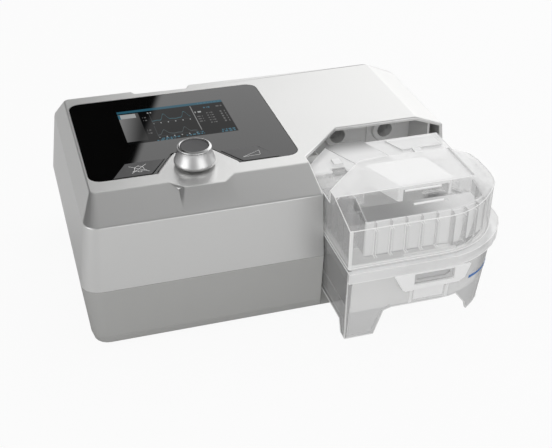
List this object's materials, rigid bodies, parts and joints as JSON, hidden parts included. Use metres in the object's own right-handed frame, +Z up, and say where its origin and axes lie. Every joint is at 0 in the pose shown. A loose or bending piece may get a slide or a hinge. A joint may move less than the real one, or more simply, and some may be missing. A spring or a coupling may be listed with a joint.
{
  "type": "bilevel positive airway pressure machine",
  "caption": "Low bedside breathing machine with a display window, push knob, soft keys and a clear water tank that slides out at the front right.",
  "frame": {"origin": "centre of the whole outline on the table, with the tank partly drawn out", "axes": "+X to the right seen from the front, +Y to the back, +Z up"},
  "size_m": [0.265, 0.2244, 0.1078],
  "materials": {
    "silver_paint": "satin silver paint over a moulded plastic shell",
    "grey_plastic": "fine spark-textured grey moulding",
    "window_glass": "polished black window",
    "lcd_screen": "dark blue display panel",
    "key_plastic": "dark grey key cap",
    "satin_chrome": "satin plated",
    "knob_disc": "fine turned dark face",
    "clear_plastic": "clear moulded polycarbonate",
    "white_plastic": "white moulding",
    "silicone": "translucent grey silicone",
    "foot_rubber": "soft dark rubber",
    "steel": "bright steel",
    "circuit_board": "green board",
    "black_plastic": "black moulding",
    "filter_foam": "pale fibre and foam"
  },
  "bodies": {
    "machine": {"air_filter": "filter_foam", "bay_liner": "grey_plastic", "blower_mount_1": "silicone", "blower_mount_2": "silicone", "blower_mount_3": "silicone", "board_screw_1": "steel", "board_screw_2": "steel", "board_screw_3": "steel", "board_screw_4": "steel", "card_socket": "steel", "display_window": "window_glass", "encoder": "steel", "heater_block": "grey_plastic", "heater_plate": "steel", "inlet_muffler": "filter_foam", "lcd_module": "lcd_screen", "lower_housing": "grey_plastic", "main_board": "circuit_board", "motor": "steel", "mute_switch": "black_plastic", "outlet_port": "grey_plastic", "power_board": "circuit_board", "power_choke": "black_plastic", "power_inlet": "black_plastic", "ramp_switch": "black_plastic", "return_duct": "silicone", "return_seal": "silicone", "rubber_foot_1": "foot_rubber", "rubber_foot_2": "foot_rubber", "rubber_foot_3": "foot_rubber", "rubber_foot_4": "foot_rubber", "scroll_lower": "black_plastic", "scroll_upper": "black_plastic", "supply_duct": "silicone", "supply_seal": "silicone", "upper_housing": "silver_paint"},
    "water_tank": {"tank_tub": "clear_plastic", "tank_rear_cover": "clear_plastic", "tank_base_plate": "steel", "rim_seal": "silicone", "pull_handle": "white_plastic", "hinge_pin_left": "steel", "hinge_pin_right": "steel"},
    "lid": {"tank_lid": "clear_plastic", "air_guide": "white_plastic"},
    "catch": {"release_catch": "white_plastic"},
    "knob_push": {"encoder_plunger": "steel"},
    "knob_turn": {"knob": "satin_chrome", "knob_disc": "knob_disc", "encoder_shaft": "steel"},
    "mute_button": {"mute_key": "key_plastic"},
    "ramp_button": {"ramp_key": "key_plastic"},
    "fan": {"impeller": "black_plastic"},
    "filter_door": {"filter_cover": "grey_plastic"},
    "card": {"memory_card": "black_plastic"}
  },
  "joints": [
    {"name": "tank_slide", "type": "slide", "parent": "machine", "child": "water_tank", "axis": [0, -1, 0], "range_m": [-0.0446, 0.055]},
    {"name": "lid_hinge", "type": "hinge", "parent": "water_tank", "child": "lid", "pos_m": [0.0725, -0.03877, 0.0834], "axis": [-1, 0, 0], "range_deg": [0, 90]},
    {"name": "catch_press", "type": "slide", "parent": "water_tank", "child": "catch", "axis": [0, 1, 0], "range_m": [0, 0.0018], "stiffness_N_per_m": 600, "springref_m": -0.001},
    {"name": "knob_press", "type": "slide", "parent": "machine", "child": "knob_push", "axis": [0, 0, -1], "range_m": [0, 0.0009], "stiffness_N_per_m": 2000, "springref_m": -0.001},
    {"name": "knob_rotation", "type": "hinge", "parent": "knob_push", "child": "knob_turn", "pos_m": [-0.0519, -0.02013, 0.0868], "axis": [0, 0, 1], "continuous": true},
    {"name": "mute_key_press", "type": "slide", "parent": "machine", "child": "mute_button", "axis": [0, 0, -1], "range_m": [0, 0.0008], "stiffness_N_per_m": 800, "springref_m": -0.0008},
    {"name": "ramp_key_press", "type": "slide", "parent": "machine", "child": "ramp_button", "axis": [0, 0, -1], "range_m": [0, 0.0008], "stiffness_N_per_m": 800, "springref_m": -0.0008},
    {"name": "fan_spin", "type": "hinge", "parent": "machine", "child": "fan", "pos_m": [-0.0601, 0.00978, 0.02], "axis": [0, 0, 1], "continuous": true},
    {"name": "filter_door_hinge", "type": "hinge", "parent": "machine", "child": "filter_door", "pos_m": [0.0055, 0.10078, 0.013], "axis": [-1, 0, 0], "range_deg": [0, 75]},
    {"name": "card_slide", "type": "slide", "parent": "machine", "child": "card", "axis": [0, 1, 0], "range_m": [0, 0.022]}
  ]
}
